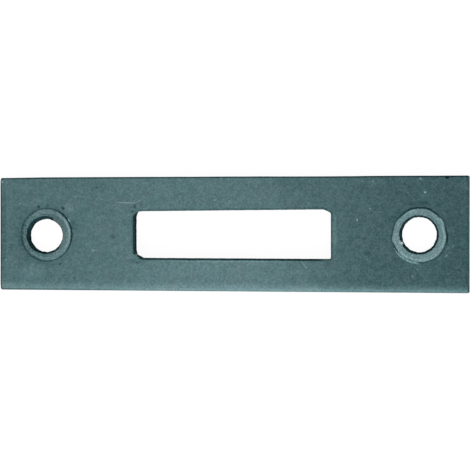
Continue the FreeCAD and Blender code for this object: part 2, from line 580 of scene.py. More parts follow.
@dataclass
class StrikePlate:
    """The whole plate as one closed mesh. Sizes are in millimetres until the mesh is finished."""

    length: float
    width: float
    thickness: float
    cell: float = 0.34
    roll_over_width: float = 1.5
    roll_over_drop: float = 0.35
    openings: list = field(default_factory=list)

    def add_face(self, bm: bmesh.types.BMesh, height: float) -> list[bmesh.types.BMFace]:
        """Lay a grid at a height and leave a window in it for each opening."""
        low_x, low_y, high_x, high_y = self.openings[0].window()
        spread = Matrix.Translation(((low_x + high_x) / 2.0, (low_y + high_y) / 2.0, height)) @ Matrix.Diagonal(
            ((high_x - low_x) / 2.0, (high_y - low_y) / 2.0, 1.0, 1.0))
        made = bmesh.ops.create_grid(bm, x_segments=round((high_x - low_x) / self.cell),
                                     y_segments=round((high_y - low_y) / self.cell), size=1.0, matrix=spread)
        faces = {face for vert in made["verts"] for face in vert.link_faces}
        for opening in self.openings[1:]:
            low_x, low_y, high_x, high_y = opening.window()
            inside = [face for face in faces
                      if low_x < face.calc_center_median().x < high_x
                      and low_y < face.calc_center_median().y < high_y]
            faces.difference_update(inside)
            bmesh.ops.delete(bm, geom=inside, context="FACES")
        return list(faces)

    def join(self, bm: bmesh.types.BMesh, faces: list, opening: Any, ring: list) -> None:
        """Fill between an opening's ring and the edge of its window in a face."""
        low_x, low_y, high_x, high_y = opening.window()
        slack = self.cell
        border = []
        for edge in {edge for face in faces for edge in face.edges if edge.is_boundary}:
            middle = (edge.verts[0].co + edge.verts[1].co) / 2.0
            within = (low_x - slack < middle.x < high_x + slack) and (low_y - slack < middle.y < high_y + slack)
            if opening is self.openings[0]:
                near_side = min(middle.x - low_x, high_x - middle.x, middle.y - low_y, high_y - middle.y)
                within = near_side < 0.5 * slack
            if within:
                border.append(edge)
        made = bmesh.ops.triangle_fill(bm, edges=border + ring, use_beauty=True, normal=(0.0, 0.0, 1.0))
        for item in made["geom"]:
            if isinstance(item, bmesh.types.BMFace):
                item.material_index = Zone.ROLLED_FACE.value

    def roll_over(self, bm: bmesh.types.BMesh) -> None:
        """Draw the lower front edge down in a shallow arc, as the shear blade did."""
        radius = (self.roll_over_width**2 + self.roll_over_drop**2) / (2.0 * self.roll_over_drop)
        start = -self.width / 2.0 + self.roll_over_width
        for vert in bm.verts:
            reach = start - vert.co.y
            if reach > 0.0:
                drop = radius - math.sqrt(radius**2 - reach**2)
                vert.co.z -= drop * vert.co.z / self.thickness

    def build(self) -> bpy.types.Object:
        """Build the plate's mesh and its object."""
        bm = bmesh.new()
        guide = RingGuide(bm)
        rings = [opening.line(bm, guide) for opening in self.openings]
        front = self.add_face(bm, self.thickness)
        back = self.add_face(bm, 0.0)
        for vert in {vert for face in front + back for vert in face.verts}:
            vert[guide.rim_line] = CLEAN
        for opening, (front_ring, back_ring) in zip(self.openings, rings):
            self.join(bm, front, opening, front_ring)
            self.join(bm, back, opening, back_ring)
            log.info("%s joined to both faces", opening.name)
        bmesh.ops.remove_doubles(bm, verts=bm.verts, dist=0.002)
        self.roll_over(bm)
        bmesh.ops.recalc_face_normals(bm, faces=bm.faces)
        open_edges = [edge for edge in bm.edges if not edge.is_manifold]
        triangles = sum(len(face.verts) - 2 for face in bm.faces)
        log.info("plate has %d triangles and %d open edges", triangles, len(open_edges))
        for face in bm.faces:
            face.smooth = True
        bmesh.ops.scale(bm, vec=(MM, MM, MM), verts=bm.verts)
        mesh = bpy.data.meshes.new("strike_plate_steel")
        bm.to_mesh(mesh)
        bm.free()
        for name in ("home", "into_metal"):
            mesh.attributes.remove(mesh.attributes[name])
        plate = bpy.data.objects.new("strike_plate_steel", mesh)
        bpy.context.scene.collection.objects.link(plate)
        return plate


class Bench:
    """A node tree with short calls for placing and joining its nodes."""

    def __init__(self, tree: bpy.types.NodeTree) -> None:
        """Start on an empty tree.

        Args:
            tree: the tree that the nodes are placed in.
        """
        self.tree = tree
        tree.nodes.clear()

    def join(self, source: Any, target: Socket) -> None:
        """Link a socket, or write a plain value."""
        if isinstance(source, bpy.types.NodeSocket):
            self.tree.links.new(source, target)
        else:
            target.default_value = source

    def place(self, kind: str, inputs: Optional[dict] = None, **settings: Any) -> bpy.types.Node:
        """Place a node.

        Args:
            kind: the node's type name without the leading ShaderNode.
            inputs: a socket or value for each named or numbered input.
            settings: the node's own settings.

        Returns:
            The node.
        """
        node = self.tree.nodes.new(kind if kind.startswith("NodeGroup") else f"ShaderNode{kind}")
        for name, value in settings.items():
            setattr(node, name, value)
        for name, value in (inputs or {}).items():
            self.join(value, node.inputs[name])
        return node

    def math(self, operation: str, first: Any, second: Any = 0.0, third: Any = 0.0) -> Socket:
        """Result of one sum on two or three values."""
        return self.place("Math", {0: first, 1: second, 2: third}, operation=operation).outputs[0]

    def scaled_sum(self, parts: list[tuple[Any, float]], start: Any = 0.0) -> Socket:
        """Sum of values times shares, from a starting value."""
        total = start
        for value, share in parts:
            node = self.place("Math", {0: value, 1: share, 2: total}, operation="MULTIPLY_ADD")
            total = node.outputs[0]
        return total

    def ramp(self, value: Any, low: float, high: float) -> Socket:
        """Soft ramp of a value from 0 at low to 1 at high, which may be the lower of the two."""
        upward = low < high
        node = self.place("MapRange", {0: value, 1: min(low, high), 2: max(low, high), 3: 0.0 if upward else 1.0,
                                       4: 1.0 if upward else 0.0}, interpolation_type="SMOOTHSTEP")
        return node.outputs[0]

    def noise(self, position: Any, scale: float, detail: float = 2.0, roughness: float = 0.5) -> Socket:
        """Noise value around 0.5."""
        return self.place("TexNoise", {"Vector": position, "Scale": scale, "Detail": detail,
                                       "Roughness": roughness}).outputs["Fac"]

    def stretched(self, position: Any, stretch: tuple[float, float, float]) -> Socket:
        """Position scaled by a factor along each axis."""
        return self.place("VectorMath", {0: position, 1: stretch}, operation="MULTIPLY").outputs[0]


@dataclass
class FinishKit:
    """Shader node groups that the plate's finishes share. All of them work in millimetres."""

    groups: dict[str, bpy.types.NodeTree] = field(default_factory=dict)

    def start(self, name: str, takes: dict[str, Any], gives: dict[str, str]) -> tuple[Bench, Any, Any]:
        """Open a group with named sockets.

        Args:
            name: the group's name.
            takes: default of each input; a tuple makes a vector and a number a float.
            gives: kind of each output, Float or Color.

        Returns:
            The bench, the group's input node and its output node.
        """
        tree = bpy.data.node_groups.new(name, "ShaderNodeTree")
        bench = Bench(tree)
        for label, default in takes.items():
            kind = "NodeSocketVector" if isinstance(default, tuple) else "NodeSocketFloat"
            socket = tree.interface.new_socket(label, in_out="INPUT", socket_type=kind)
            socket.default_value = default
        for label, kind in gives.items():
            tree.interface.new_socket(label, in_out="OUTPUT", socket_type=f"NodeSocket{kind}")
        self.groups[name] = tree
        return bench, bench.place("NodeGroupInput"), bench.place("NodeGroupOutput")

    def use(self, bench: Bench, name: str, **inputs: Any) -> bpy.types.Node:
        """Place a group in a material, with underscores in the input names read as spaces."""
        node = bench.place("Group", node_tree=self.groups[name])
        for label, value in inputs.items():
            bench.join(value, node.inputs[label.replace("_", " ")])
        return node

    def build(self) -> None:
        """Make every group."""
        self.build_tint()
        self.build_grain()
        self.build_mark()
        self.build_edge_line()
        self.build_bearing()

    def build_tint(self) -> None:
        """Colour of the blue-green oxide skin at each level, from nearly black to bare metal."""
        bench, given, result = self.start("steel_tint", {"Level": 0.5, "Warmth": 0.0}, {"Color": "Color"})
        ramp = bench.place("ValToRGB", {0: given.outputs["Level"]})
        stops = ((0.0, (0.001, 0.006, 0.007)), (0.125, (0.0024, 0.015, 0.018)), (0.225, (0.010, 0.036, 0.040)),
                 (0.35, (0.033, 0.076, 0.082)), (0.475, (0.072, 0.136, 0.144)), (0.60, (0.130, 0.216, 0.227)),
                 (0.725, (0.209, 0.319, 0.333)), (0.85, (0.310, 0.445, 0.462)), (1.0, (0.468, 0.631, 0.651)))
        points = ramp.color_ramp.elements
        points[0].position, points[1].position = stops[0][0], stops[-1][0]
        points[0].color, points[1].color = (*stops[0][1], 1.0), (*stops[-1][1], 1.0)
        for position, colour in stops[1:-1]:
            points.new(position).color = (*colour, 1.0)
        warmer = bench.place("Mix", {0: given.outputs["Warmth"], 6: ramp.outputs[0], 7: (1.06, 0.99, 0.99, 1.0)},
                             data_type="RGBA", blend_type="MULTIPLY", clamp_factor=False)
        bench.join(warmer.outputs[2], result.inputs["Color"])

    def build_grain(self) -> None:
        """Grain, mottling, rolling streaks and pits of a rolled skin."""
        bench, given, result = self.start("rolled_grain", {"Position": (0.0, 0.0, 0.0), "Grain size": 0.3},
                                          {"Grain": "Float", "Mottle": "Float", "Pits": "Float", "Height": "Float"})
        position = given.outputs["Position"]
        size = bench.place("CombineXYZ", {0: given.outputs["Grain size"], 1: given.outputs["Grain size"],
                                          2: given.outputs["Grain size"]})
        shrunk = bench.place("VectorMath", {0: position, 1: size.outputs[0]}, operation="DIVIDE").outputs[0]
        fine = bench.noise(shrunk, 1.0, 2.0, 0.6)
        finer = bench.noise(shrunk, 3.7, 2.0, 0.6)
        mottle = bench.noise(position, 0.75, 3.0, 0.55)
        streaks = bench.noise(bench.stretched(position, (0.25, 4.5, 1.0)), 1.0, 2.0, 0.5)
        pits = bench.ramp(bench.noise(position, 2.3, 1.0, 0.4), 0.69, 0.80)
        grain = bench.scaled_sum([(fine, 0.8), (finer, 0.2)])
        height = bench.scaled_sum([(fine, 0.5), (finer, 0.35), (streaks, 0.25), (pits, -0.6)])
        broad = bench.scaled_sum([(mottle, 0.7), (streaks, 0.3)])
        for label, value in (("Grain", grain), ("Mottle", broad), ("Pits", pits), ("Height", height)):
            bench.join(value, result.inputs[label])

    def build_mark(self) -> None:
        """One speck, stain, scratch or painted highlight: a ragged ellipse at a place on the front face."""
        bench, given, result = self.start(
            "surface_mark", {"Position": (0.0, 0.0, 0.0), "Centre": (0.0, 0.0, 0.0), "Half length": 1.0,
                             "Half width": 1.0, "Turn": 0.0, "Ragged": 0.0}, {"Mask": "Float"})
        offset = bench.place("VectorMath", {0: given.outputs["Position"], 1: given.outputs["Centre"]},
                             operation="SUBTRACT").outputs[0]
        turned = bench.place("VectorRotate", {"Vector": offset, "Angle": given.outputs["Turn"]},
                             rotation_type="Z_AXIS", invert=True).outputs[0]
        parts = bench.place("SeparateXYZ", {0: turned}).outputs
        along = bench.math("DIVIDE", parts["X"], given.outputs["Half length"])
        across = bench.math("DIVIDE", parts["Y"], given.outputs["Half width"])
        around = bench.math("ADD", bench.math("MULTIPLY", along, along), bench.math("MULTIPLY", across, across))
        below = bench.math("MULTIPLY", bench.math("MULTIPLY", parts["Z"], parts["Z"]), 0.6)
        distance = bench.math("ADD", bench.math("ADD", around, below), given.outputs["Ragged"])
        bench.join(bench.ramp(distance, 1.25, 0.15), result.inputs["Mask"])

    def build_edge_line(self) -> None:
        """Thin broken line along an edge. Across is 0 at the line's middle and 1 at its side."""
        bench, given, result = self.start(
            "edge_line", {"Position": (0.0, 0.0, 0.0), "Across": 0.0, "Strength": 1.0, "Breaks": 0.3},
            {"Mask": "Float"})
        wobble = bench.noise(given.outputs["Position"], 1.6, 3.0, 0.6)
        gaps = bench.math("MULTIPLY", bench.math("SUBTRACT", wobble, 0.5), 4.0)
        worn = bench.math("ADD", bench.math("MULTIPLY", gaps, given.outputs["Breaks"]), 1.0)
        fray = bench.math("SUBTRACT", bench.noise(given.outputs["Position"], 2.6, 2.0, 0.6), 0.5)
        frayed = bench.math("MULTIPLY_ADD", fray, 1.0, third=given.outputs["Across"])
        line = bench.ramp(bench.math("ABSOLUTE", frayed), 1.3, 0.4)
        strength = bench.math("MULTIPLY", given.outputs["Strength"], bench.math("MAXIMUM", worn, 0.0))
        bench.join(bench.math("MULTIPLY", line, strength), result.inputs["Mask"])

    def build_bearing(self) -> None:
        """Distance and direction from the nearer hole's centre, with the lines that a cutter turned."""
        bench, given, result = self.start(
            "hole_bearing", {"Position": (0.0, 0.0, 0.0), "Centre": (36.55, -0.15, 0.0), "Line spacing": 0.2},
            {"Radius": "Float", "East": "Float", "North": "Float", "Lines": "Float"})
        parts = bench.place("SeparateXYZ", {0: given.outputs["Position"]}).outputs
        side = bench.math("SIGN", parts["X"])
        centre = bench.place("SeparateXYZ", {0: given.outputs["Centre"]}).outputs
        x = bench.math("SUBTRACT", parts["X"], bench.math("MULTIPLY", side, centre["X"]))
        y = bench.math("SUBTRACT", parts["Y"], centre["Y"])
        radius = bench.math("SQRT", bench.math("ADD", bench.math("MULTIPLY", x, x), bench.math("MULTIPLY", y, y)))
        safe = bench.math("MAXIMUM", radius, 0.01)
        east = bench.math("DIVIDE", x, safe)
        north = bench.math("DIVIDE", y, safe)
        rings = bench.place("CombineXYZ", {0: bench.math("DIVIDE", radius, given.outputs["Line spacing"]),
                                           1: bench.math("MULTIPLY", east, 1.3),
                                           2: bench.math("MULTIPLY", north, 1.3)})
        lines = bench.noise(rings.outputs[0], 1.0, 2.0, 0.6)
        for label, value in (("Radius", radius), ("East", east), ("North", north), ("Lines", lines)):
            bench.join(value, result.inputs[label])


@dataclass(frozen=True)
class SurfaceMark:
    """A speck, stain, scratch or painted highlight, in millimetres. Light is how much it brightens or, below 0,
    darkens.
    """

    x: float
    y: float
    half_length: float
    half_width: float
    light: float
    turn: float = 0.0
    z: float = 3.0


CONE_HIGHLIGHTS = (
    # Painted highlights: a glint on the right-hand hole's nick and a highlight on the left-hand hole's far lip.
    SurfaceMark(33.06, -1.46, 0.56, 0.46, 0.64, math.radians(24.0), 1.4),
    SurfaceMark(-32.39, 1.73, 1.30, 0.14, 0.09, math.radians(115.0), 2.6),
)
FACE_MARKS = (
    SurfaceMark(37.69, 7.89, 0.31, 0.18, 0.33),
    SurfaceMark(24.82, 2.64, 0.16, 0.28, 0.32),
    SurfaceMark(35.35, -7.94, 0.24, 0.15, 0.18),
    SurfaceMark(27.28, 4.85, 0.18, 0.17, 0.26),
    SurfaceMark(34.50, 7.84, 0.18, 0.15, 0.15),
    SurfaceMark(36.86, 10.40, 0.38, 0.21, 0.20, math.radians(-30.0)),
    SurfaceMark(36.29, -6.60, 0.24, 0.16, 0.12),
    SurfaceMark(45.60, 8.65, 0.20, 0.22, 0.14),
    SurfaceMark(45.60, 5.20, 0.16, 0.20, 0.10),
    SurfaceMark(37.85, 5.80, 0.24, 0.24, -0.03),
    SurfaceMark(25.85, 10.00, 0.30, 0.20, 0.12),
    SurfaceMark(27.85, 10.00, 0.20, 0.42, 0.11),
    SurfaceMark(33.90, 9.45, 0.22, 0.22, -0.17),
    SurfaceMark(26.91, -3.73, 0.80, 0.50, -0.06),
    SurfaceMark(14.60, -5.80, 1.00, 0.10, 0.11, math.radians(-53.0)),
    SurfaceMark(14.95, -6.25, 0.32, 0.14, 0.10, math.radians(-53.0)),
    SurfaceMark(-29.40, 7.18, 2.40, 0.11, 0.08, math.radians(-4.0)),
    SurfaceMark(-25.50, 6.70, 2.10, 0.11, 0.05, math.radians(-9.0)),
    SurfaceMark(-20.55, 6.02, 2.20, 0.16, 0.14, math.radians(-2.0)),
    SurfaceMark(-17.80, 6.35, 0.80, 0.13, 0.14, math.radians(24.0)),
    SurfaceMark(-31.95, 5.00, 1.15, 1.10, 0.05),
    SurfaceMark(-33.10, 4.92, 0.46, 0.31, -0.21, math.radians(-35.0)),
    SurfaceMark(-31.96, 2.56, 0.40, 0.13, 0.30, math.radians(-60.0)),
    SurfaceMark(-27.04, -3.22, 0.44, 0.28, 0.11),
    SurfaceMark(-23.00, -0.53, 0.55, 0.55, -0.07),
    SurfaceMark(-26.33, 8.92, 0.34, 0.20, -0.11),
    SurfaceMark(-30.78, -8.62, 0.30, 0.30, -0.10),
    SurfaceMark(-33.77, -5.95, 0.30, 0.30, -0.12),
    SurfaceMark(-38.12, 5.20, 0.28, 0.35, -0.20),
    SurfaceMark(-41.88, 5.79, 0.16, 0.30, 0.12),
    SurfaceMark(-44.85, -5.12, 0.15, 0.17, 0.18),
    SurfaceMark(-45.60, 10.20, 0.30, 0.40, 0.16),
    SurfaceMark(-18.32, -4.06, 0.25, 0.17, 0.46, math.radians(-35.0)),
    SurfaceMark(-18.66, 5.30, 0.36, 0.54, -0.13),
    SurfaceMark(-17.40, 5.35, 0.34, 0.34, -0.04),
    SurfaceMark(-19.15, 4.35, 0.26, 0.30, -0.18),
    SurfaceMark(-18.20, -5.62, 0.30, 0.32, -0.06),
    SurfaceMark(-18.30, -5.30, 2.40, 0.65, -0.05),
    SurfaceMark(-39.20, -7.30, 2.60, 1.70, 0.05),
    SurfaceMark(36.40, 5.80, 2.30, 0.55, -0.045),
    SurfaceMark(31.90, 3.40, 1.70, 0.90, -0.035, math.radians(45.0)),
    SurfaceMark(45.00, 9.60, 0.75, 1.10, 0.04),
    SurfaceMark(12.00, 9.40, 4.20, 1.70, -0.03),
    SurfaceMark(-25.40, 9.00, 2.00, 1.30, -0.03),
    SurfaceMark(16.00, -8.20, 5.00, 3.20, 0.018),
    SurfaceMark(28.60, 9.90, 2.20, 0.90, 0.03),
    SurfaceMark(-38.00, 5.90, 1.60, 0.90, 0.03),
    SurfaceMark(-30.60, 1.70, 0.90, 1.70, -0.035),
    SurfaceMark(40.60, -4.00, 1.00, 1.30, 0.03),
    SurfaceMark(-45.30, 0.0, 10.4, 0.65, -0.05, math.radians(90.0)),
    SurfaceMark(45.72, 0.0, 10.2, 0.13, 0.02, math.radians(90.0)),
    SurfaceMark(20.52, 0.2, 3.8, 0.50, 0.07, math.radians(90.0)),
    SurfaceMark(1.0, -5.26, 14.5, 0.20, 0.06),
    SurfaceMark(42.93, -2.27, 0.46, 0.18, 0.13, math.radians(50.0)),
    SurfaceMark(41.87, -2.74, 0.66, 0.15, 0.10, math.radians(55.0)),
    SurfaceMark(42.43, -1.71, 0.28, 0.18, 0.08, math.radians(20.0)),
    SurfaceMark(41.70, -3.99, 0.42, 0.20, 0.15, math.radians(45.0)),
    SurfaceMark(42.56, -3.52, 0.46, 0.14, 0.08, math.radians(32.0)),
    SurfaceMark(40.93, -3.41, 0.38, 0.20, -0.08, math.radians(-10.0)),
    SurfaceMark(41.86, 10.66, 0.44, 0.28, -0.33),
    SurfaceMark(-2.81, 6.50, 0.30, 0.19, 0.13),
    SurfaceMark(0.08, 6.31, 0.24, 0.16, 0.11),
)


@dataclass(frozen=True)
class SteelFinish:
    """One finish of the plate's steel.

    Attributes:
        name: the material's name.
        level: how light the metal is, on the tint group's scale.
        grain, mottle, pits: how much each changes the level.
        grain_size: size of the grain in millimetres.
        roughness: mean roughness.
        metallic: how metallic the surface is.
        relief: height of the bump in metres.
        specular: specular level of the shader.
    """

    name: str
    level: float
    grain: float
    mottle: float
    pits: float
    grain_size: float
    roughness: float
    metallic: float
    relief: float
    specular: float = 0.5

    def dark_line(self, bench: Bench, kit: FinishKit, position: Socket) -> tuple[Any, float]:
        """Dark line along the edges, from the attributes that the rings were marked with. Along the plate's upper edge
        and the slot's lower edge it is painted shade.
        """
        across = bench.place("Attribute", attribute_name="rim_line").outputs["Fac"]
        strength = bench.place("Attribute", attribute_name="dark_line_strength").outputs["Fac"]
        line = kit.use(bench, "edge_line", Position=position, Across=across, Strength=strength, Breaks=0.35)
        return line.outputs["Mask"], -0.30

    def mark_parts(self, bench: Bench, kit: FinishKit, position: Socket, marks: tuple) -> list[tuple[Any, float]]:
        """Masks of specks, stains, scratches and painted highlights with the light that each adds."""
        ragged = bench.math("MULTIPLY", bench.math("SUBTRACT", bench.noise(position, 5.0, 1.0), 0.5), 1.6)
        found = []
        for mark in marks:
            mask = kit.use(bench, "surface_mark", Position=position, Centre=(mark.x, mark.y, mark.z),
                           Half_length=mark.half_length, Half_width=mark.half_width, Turn=mark.turn,
                           Ragged=ragged).outputs["Mask"]
            found.append((mask, mark.light))
        return found

    def level_parts(self, bench: Bench, kit: FinishKit, position: Socket) -> list[tuple[Any, float]]:
        """Values and shares that this finish adds to the level."""
        return []

    def height_parts(self, bench: Bench, kit: FinishKit, position: Socket) -> list[tuple[Any, float]]:
        """Values and shares that this finish adds to the bump."""
        return []

    def warmth(self, bench: Bench, kit: FinishKit, position: Socket) -> Any:
        """How far the tint leans to grey, or to blue-green where it is below 0."""
        return bench.ramp(bench.noise(bench.stretched(position, (1.0, 1.3, 1.0)), 0.32, 2.0), 0.40, 0.70)

    def material(self, kit: FinishKit) -> bpy.types.Material:
        """Build the finish.

        Args:
            kit: the shared node groups.

        Returns:
            The material.
        """
        made = bpy.data.materials.new(self.name)
        made.use_nodes = True
        bench = Bench(made.node_tree)
        place = bench.place("TexCoord").outputs["Object"]
        position = bench.stretched(place, (1.0 / MM, 1.0 / MM, 1.0 / MM))
        grain = kit.use(bench, "rolled_grain", Position=position, Grain_size=self.grain_size).outputs
        parts = [(bench.math("SUBTRACT", grain["Grain"], 0.5), self.grain),
                 (bench.math("SUBTRACT", grain["Mottle"], 0.5), self.mottle),
                 (grain["Pits"], -self.pits)]
        level = bench.scaled_sum(parts + self.level_parts(bench, kit, position), self.level)
        height = bench.scaled_sum([(grain["Height"], 1.0)] + self.height_parts(bench, kit, position))
        rough = bench.scaled_sum([(bench.math("SUBTRACT", grain["Mottle"], 0.5), 0.25),
                                  (bench.math("SUBTRACT", level, self.level), -0.25)], self.roughness)
        bump = bench.place("Bump", {"Height": height, "Distance": self.relief, "Strength": 1.0})
        colour = kit.use(bench, "steel_tint", Level=level, Warmth=self.warmth(bench, kit, position)).outputs["Color"]
        shader = bench.place("BsdfPrincipled", {
            "Base Color": colour, "Metallic": self.metallic, "Roughness": rough,
            "Specular IOR Level": self.specular, "Normal": bump.outputs[0]})
        output = bench.place("OutputMaterial")
        bench.join(shader.outputs[0], output.inputs["Surface"])
        return made


@dataclass(frozen=True)
class RolledFace(SteelFinish):
    """Dull rolled skin of the two faces, with its specks, scratches, dark edge lines and painted light and shade."""

    def level_parts(self, bench: Bench, kit: FinishKit, position: Socket) -> list[tuple[Any, float]]:
        """Painted shade towards both ends, painted highlights low in the middle and along the rolled-over edge, patina
        round the left-hand hole, marks and edge lines.
        """
        parts = bench.place("SeparateXYZ", {0: position}).outputs
        # Painted highlight on the lower middle of the face.
        low_middle_highlight = bench.math("MULTIPLY", bench.ramp(parts["Y"], 3.0, -6.0), bench.math(
            "MULTIPLY", bench.ramp(parts["X"], -26.0, -8.0), bench.ramp(parts["X"], 20.0, 4.0)))
        # Painted shade: the face darkens towards the right-hand end and a little towards the left-hand end.
        found = [(bench.ramp(parts["X"], 2.0, 36.0), -0.09), (bench.ramp(parts["X"], -10.0, -36.0), -0.025),
                 (low_middle_highlight, 0.03), self.dark_line(bench, kit, position)]
        # Painted highlight along the rolled-over lower edge.
        roll_over_highlight = bench.ramp(parts["Y"], -9.1, -10.7)
        found += [(roll_over_highlight, 0.085), (bench.math("MULTIPLY", roll_over_highlight, low_middle_highlight), -0.03)]
        bearing = kit.use(bench, "hole_bearing", Position=position).outputs
        left = bench.ramp(parts["X"], 1.0, -1.0)
        leaning = bench.ramp(bench.scaled_sum([(bearing["East"], -0.9), (bearing["North"], -0.45)]), -0.3, 0.9)
        soiled = bench.math("MULTIPLY", bench.ramp(bearing["Radius"], 10.0, 5.0), bench.math("MULTIPLY", leaning, left))
        close = bench.math("MULTIPLY", bench.ramp(bearing["Radius"], 7.0, 5.0), left)
        # Painted shade: the last ramp darkens the far right-hand end further.
        found += [(soiled, -0.035), (close, -0.03), (bench.ramp(parts["X"], 38.0, 45.0), -0.022)]
        return found + self.mark_parts(bench, kit, position, FACE_MARKS)


@dataclass(frozen=True)
class CutCone(SteelFinish):
    """Bare metal of the countersinks, with turned lines."""

    def level_parts(self, bench: Bench, kit: FinishKit, position: Socket) -> list[tuple[Any, float]]:
        """Turned lines, the dark line at the rim, the darker left-hand hole, painted light and shade by direction round
        each hole, and painted highlights on the lip.
        """
        bearing = kit.use(bench, "hole_bearing", Position=position, Line_spacing=0.16).outputs
        parts = bench.place("SeparateXYZ", {0: position}).outputs
        left = bench.ramp(parts["X"], 1.0, -1.0)
        # Painted light and shade by direction round each cone: darker to the west, lighter to the south, darker at the
        # top of the right-hand cone and the inner east of the left-hand one.
        west = bench.ramp(bearing["East"], 0.6, -0.9)
        across = bench.place("Attribute", attribute_name="rim_line").outputs["Fac"]
        # Painted highlight on a lip just inside the rim, strongest on the far side.
        lip_highlight = bench.ramp(bench.math("ABSOLUTE", bench.math("ADD", across, 2.4)), 1.5, 0.2)
        south = bench.ramp(bearing["North"], 1.0, -1.0)
        outside = bench.ramp(bearing["Radius"], 5.1, 5.2)
        tail = bench.math("MULTIPLY", outside, bench.ramp(bearing["East"], -0.45, 0.15))
        toward_far = bench.scaled_sum([(bearing["East"], 0.9), (bearing["North"], 0.25)])
        far_lip_highlight = bench.math("MULTIPLY", lip_highlight, bench.ramp(toward_far, 0.45, 0.95))
        right_top = bench.math("MULTIPLY", bench.ramp(bearing["North"], 0.3, 1.0), bench.math("SUBTRACT", 1.0, left))
        inner_east = bench.math("MULTIPLY", bench.ramp(bearing["Radius"], 4.4, 3.6), bench.math(
            "MULTIPLY", bench.ramp(bearing["East"], -0.2, 0.6), left))
        return [(bench.math("SUBTRACT", bearing["Lines"], 0.5), 0.36), (left, -0.04), (west, -0.055), (south, 0.165),
                (bench.math("MULTIPLY", west, left), -0.135), (bench.math("MULTIPLY", south, left), -0.03),
                (right_top, -0.025), (inner_east, -0.09), (lip_highlight, 0.03), (far_lip_highlight, 0.11), (outside, -0.16), (tail, -0.10),
                self.dark_line(bench, kit, position)] + self.mark_parts(bench, kit, position, CONE_HIGHLIGHTS)

    def warmth(self, bench: Bench, kit: FinishKit, position: Socket) -> Any:
        """Blue-green, and less so on the upper left of each hole."""
        bearing = kit.use(bench, "hole_bearing", Position=position).outputs
        upper_left = bench.ramp(bench.scaled_sum([(bearing["East"], -0.6), (bearing["North"], 0.5)]), -0.4, 0.6)
        return bench.scaled_sum([(super().warmth(bench, kit, position), 0.6), (upper_left, 1.25)], -1.3)

    def height_parts(self, bench: Bench, kit: FinishKit, position: Socket) -> list[tuple[Any, float]]:
        """Relief of the turned lines."""
        bearing = kit.use(bench, "hole_bearing", Position=position, Line_spacing=0.16).outputs
        return [(bearing["Lines"], 1.5)]


@dataclass(frozen=True)
class ShearedWall(SteelFinish):
    """Sheared or punched wall: a burnished band at the top and torn metal below it."""

    torn: float = 0.0
    # Painted shade on the wall near the back face.
    foot_shade: float = 0.0

    def level_parts(self, bench: Bench, kit: FinishKit, position: Socket) -> list[tuple[Any, float]]:
        """Upright streaks, the change from burnished to torn metal, and painted shade at the foot of the wall."""
        parts = bench.place("SeparateXYZ", {0: position}).outputs
        streaks = bench.noise(bench.stretched(position, (3.2, 3.2, 0.35)), 1.0, 3.0, 0.6)
        torn = bench.math("MULTIPLY", bench.ramp(streaks, 0.25, 0.75), 0.4)
        below = bench.ramp(bench.math("ADD", parts["Z"], torn), 2.3, 1.9)
        return [(bench.math("SUBTRACT", streaks, 0.5), 0.26), (below, -self.torn),
                (bench.ramp(parts["Z"], 1.1, 0.1), -self.foot_shade)]

    def height_parts(self, bench: Bench, kit: FinishKit, position: Socket) -> list[tuple[Any, float]]:
        """Relief of the upright streaks."""
        return [(bench.noise(bench.stretched(position, (3.2, 3.2, 0.35)), 1.0, 3.0, 0.6), 2.0)]


FINISHES = {
    Zone.ROLLED_FACE: RolledFace("rolled_face", 0.48, 0.35, 0.18, 0.10, 0.35, 0.46, 0.9, 0.00002),
    Zone.CUT_CONE: CutCone("cut_cone", 0.655, 0.95, 0.15, 0.0, 0.26, 0.42, 0.6, 0.00002, 0.1),
    # The punched walls' dark level is partly torn metal and partly painted shade inside the holes and the slot.
    Zone.PUNCHED_WALL: ShearedWall("punched_wall", 0.31, 0.20, 0.12, 0.04, 0.30, 0.75, 0.0, 0.00003, 0.0, torn=0.06,
                                   foot_shade=0.24),
    Zone.SHEARED_SIDE: ShearedWall("sheared_side", 0.42, 0.30, 0.14, 0.08, 0.30, 0.7, 0.1, 0.00003, 0.0, torn=0.08),
}


@dataclass(frozen=True)
class SoftBox:
    """A square studio lamp that points at the plate. Place and size are in metres."""

    name: str
    place: tuple[float, float, float]
    size: tuple[float, float]
    radiance: float

    def build(self) -> bpy.types.Object:
        """Hang the lamp."""
        lamp = bpy.data.lights.new(self.name, "AREA")
        lamp.shape = "RECTANGLE"
        lamp.size, lamp.size_y = self.size
        lamp.energy = self.radiance * math.pi * self.size[0] * self.size[1]
        made = bpy.data.objects.new(self.name, lamp)
        made.location = self.place
        made.rotation_euler = (-Vector(self.place)).to_track_quat("-Z", "Y").to_euler()
        bpy.context.scene.collection.objects.link(made)
        return made


